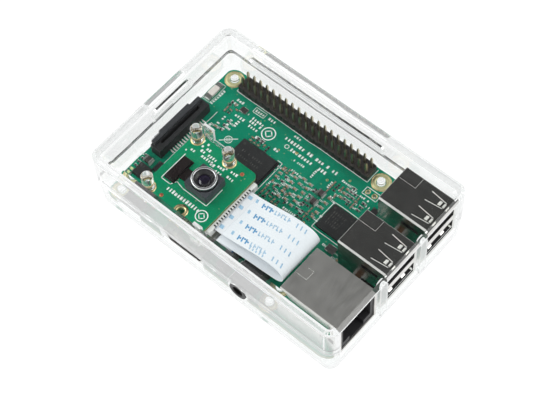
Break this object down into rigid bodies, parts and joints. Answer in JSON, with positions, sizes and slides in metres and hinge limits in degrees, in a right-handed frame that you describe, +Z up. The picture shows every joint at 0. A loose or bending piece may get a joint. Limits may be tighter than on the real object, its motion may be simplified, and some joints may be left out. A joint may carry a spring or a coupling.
{
  "type": "single board computer",
  "caption": "Single board computer in a clear two-part case, with USB, network, HDMI and audio ports, a pin header and a small camera board joined by a ribbon cable.",
  "frame": {"origin": "middle of the flat underside of the case", "axes": "+X along the case towards the USB and network ports, +Y towards the pin header, +Z up through the lid"},
  "size_m": [0.0916, 0.0612, 0.0245],
  "materials": {
    "clear_case": "clear polished moulding",
    "green_board": "green solder mask over glass fibre",
    "gold_plating": "gold plated copper",
    "steel_shell": "tinned sheet steel",
    "bright_contacts": "tinned contacts",
    "black_plastic": "black moulded nylon",
    "grey_latch": "dark grey moulded nylon",
    "chip_resin": "black moulding resin",
    "ceramic_tan": "fired ceramic",
    "antenna_white": "pale ceramic",
    "fuse_green": "green laminate",
    "capacitor_brown": "brown moulded case",
    "lamp_clear": "clear lamp lens",
    "cream_plastic": "cream moulded nylon",
    "lens_body": "dark grey moulding",
    "lens_ring": "fine turned ring",
    "lens_glass": "coated lens element",
    "ribbon_white": "white polyester film over flat copper"
  },
  "bodies": {
    "base": {"case_base": "clear_case", "main_board": "green_board", "mounting_rings": "gold_plating", "processor": "chip_resin", "memory_chip": "chip_resin", "network_chip": "chip_resin", "wireless_chip": "chip_resin", "header_block": "black_plastic", "header_pins": "gold_plating", "usb_shell_rear": "steel_shell", "usb_insert_rear": "black_plastic", "usb_contacts_rear": "gold_plating", "usb_shell_front": "steel_shell", "usb_insert_front": "black_plastic", "usb_contacts_front": "gold_plating", "ethernet_shell": "steel_shell", "ethernet_insert": "black_plastic", "ethernet_contacts": "gold_plating", "ethernet_lamps": "lamp_clear", "hdmi_shell": "steel_shell", "hdmi_tongue": "black_plastic", "power_socket_shell": "steel_shell", "power_socket_tongue": "black_plastic", "audio_socket": "black_plastic", "audio_sleeve": "bright_contacts", "display_socket": "black_plastic", "display_contacts": "bright_contacts", "camera_socket": "black_plastic", "camera_socket_contacts": "bright_contacts", "card_socket": "steel_shell", "chip_antenna": "antenna_white", "power_regulator": "chip_resin", "power_inductors": "chip_resin", "input_fuse": "fuse_green", "bulk_capacitors": "capacitor_brown", "ceramic_capacitors": "ceramic_tan", "chip_resistors": "chip_resin", "crystals": "steel_shell", "status_lamps": "lamp_clear", "reset_pads": "gold_plating", "ribbon_cable": "ribbon_white"},
    "lid": {"case_lid": "clear_case", "camera_board": "green_board", "camera_board_rings": "gold_plating", "lens_housing": "lens_body", "lens_barrel": "lens_ring", "lens_glass": "lens_glass", "sensor_flex": "chip_resin", "sensor_plug": "chip_resin", "ribbon_socket": "cream_plastic", "ribbon_socket_contacts": "bright_contacts", "camera_board_parts": "ceramic_tan"},
    "card": {"memory_card": "black_plastic"},
    "display_latch": {"display_latch": "grey_latch"},
    "camera_latch": {"camera_socket_latch": "grey_latch"},
    "ribbon_latch": {"ribbon_socket_latch": "black_plastic"}
  },
  "joints": [
    {"name": "lid_lift", "type": "slide", "parent": "base", "child": "lid", "axis": [0, 0, 1], "range_m": [0, 0.03], "deforming": ["ribbon_cable"]},
    {"name": "card_slide", "type": "slide", "parent": "base", "child": "card", "axis": [-1, 0, 0], "range_m": [0, 0.012]},
    {"name": "display_latch_slide", "type": "slide", "parent": "base", "child": "display_latch", "axis": [0, 0, 1], "range_m": [0, 0.001]},
    {"name": "camera_latch_slide", "type": "slide", "parent": "base", "child": "camera_latch", "axis": [0, 0, 1], "range_m": [0, 0.001]},
    {"name": "ribbon_latch_slide", "type": "slide", "parent": "lid", "child": "ribbon_latch", "axis": [1, 0, 0], "range_m": [0, 0.001]}
  ]
}
